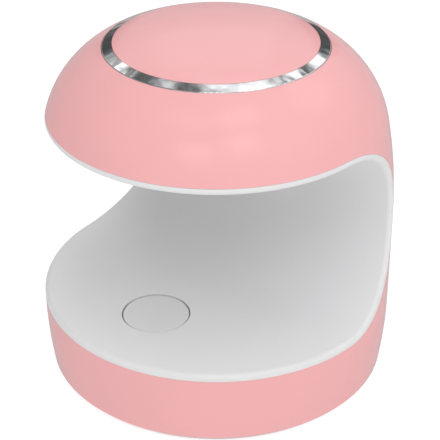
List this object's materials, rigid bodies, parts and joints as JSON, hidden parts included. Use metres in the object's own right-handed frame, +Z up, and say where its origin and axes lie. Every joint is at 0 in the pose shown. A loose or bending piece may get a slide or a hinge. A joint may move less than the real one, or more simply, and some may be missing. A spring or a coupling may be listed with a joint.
{
  "type": "nail curing lamp",
  "caption": "Round domed tabletop nail curing lamp with an open C-shaped hand slot, a floor button, a ceiling of lamps and a bright ring round its cap.",
  "frame": {"origin": "centre of the underside of the feet, on the surface it stands on, under the axis of the round body", "axes": "+Z up, -Y towards the open front of the hand slot, +X to the right as seen from the front"},
  "size_m": [0.084, 0.084, 0.0848],
  "materials": {
    "pink_abs": "moulded ABS, polished pale pink",
    "white_abs": "moulded ABS, fine satin white",
    "button_abs": "moulded ABS, fine satin white",
    "chrome_plate": "chrome plated ABS, mirror bright",
    "foot_rubber": "die-cut dark rubber pad",
    "screw_steel": "zinc plated steel",
    "black_nylon": "moulded black nylon",
    "white_nylon": "moulded natural nylon",
    "board_laminate": "glass laminate with green solder mask",
    "chip_epoxy": "moulded epoxy, dull black",
    "tinned_metal": "tinned leads",
    "can_aluminium": "drawn aluminium can",
    "resistor_ceramic": "ceramic chip with a black glaze",
    "socket_steel": "folded stainless shell",
    "pin_brass": "brass contact pins",
    "red_silicone": "red silicone insulation",
    "black_silicone": "black silicone insulation",
    "lamp_board_aluminium": "aluminium core board with white solder mask",
    "package_ceramic": "white ceramic-filled package",
    "lens_clear": "clear silicone dome"
  },
  "bodies": {
    "housing": {"outer_shell": "pink_abs", "inner_liner": "white_abs", "top_cap": "pink_abs", "chrome_ring": "chrome_plate", "bottom_cover": "white_abs", "rubber_feet": "foot_rubber", "cover_screws": "screw_steel", "dome_screws": "screw_steel", "lamp_board_screws": "screw_steel", "control_board_screws": "screw_steel", "push_switch": "black_nylon", "control_board": "board_laminate", "timer_chip": "chip_epoxy", "chip_legs": "tinned_metal", "driver_coil": "chip_epoxy", "smoothing_can": "can_aluminium", "chip_resistors": "resistor_ceramic", "power_socket": "socket_steel", "socket_tongue": "black_nylon", "lower_header": "white_nylon", "lower_plug": "white_nylon", "upper_header": "white_nylon", "upper_plug": "white_nylon", "header_pins": "pin_brass", "red_lead": "red_silicone", "black_lead": "black_silicone", "lead_saddle": "white_nylon", "lamp_board": "lamp_board_aluminium", "lamp_packages": "package_ceramic", "lamp_lenses": "lens_clear"},
    "button": {"start_button": "button_abs", "switch_plunger": "black_nylon"}
  },
  "joints": [
    {"name": "button_press", "type": "slide", "parent": "housing", "child": "button", "axis": [0, 0, -1], "range_m": [0, 0.0005], "stiffness_N_per_m": 1500}
  ]
}
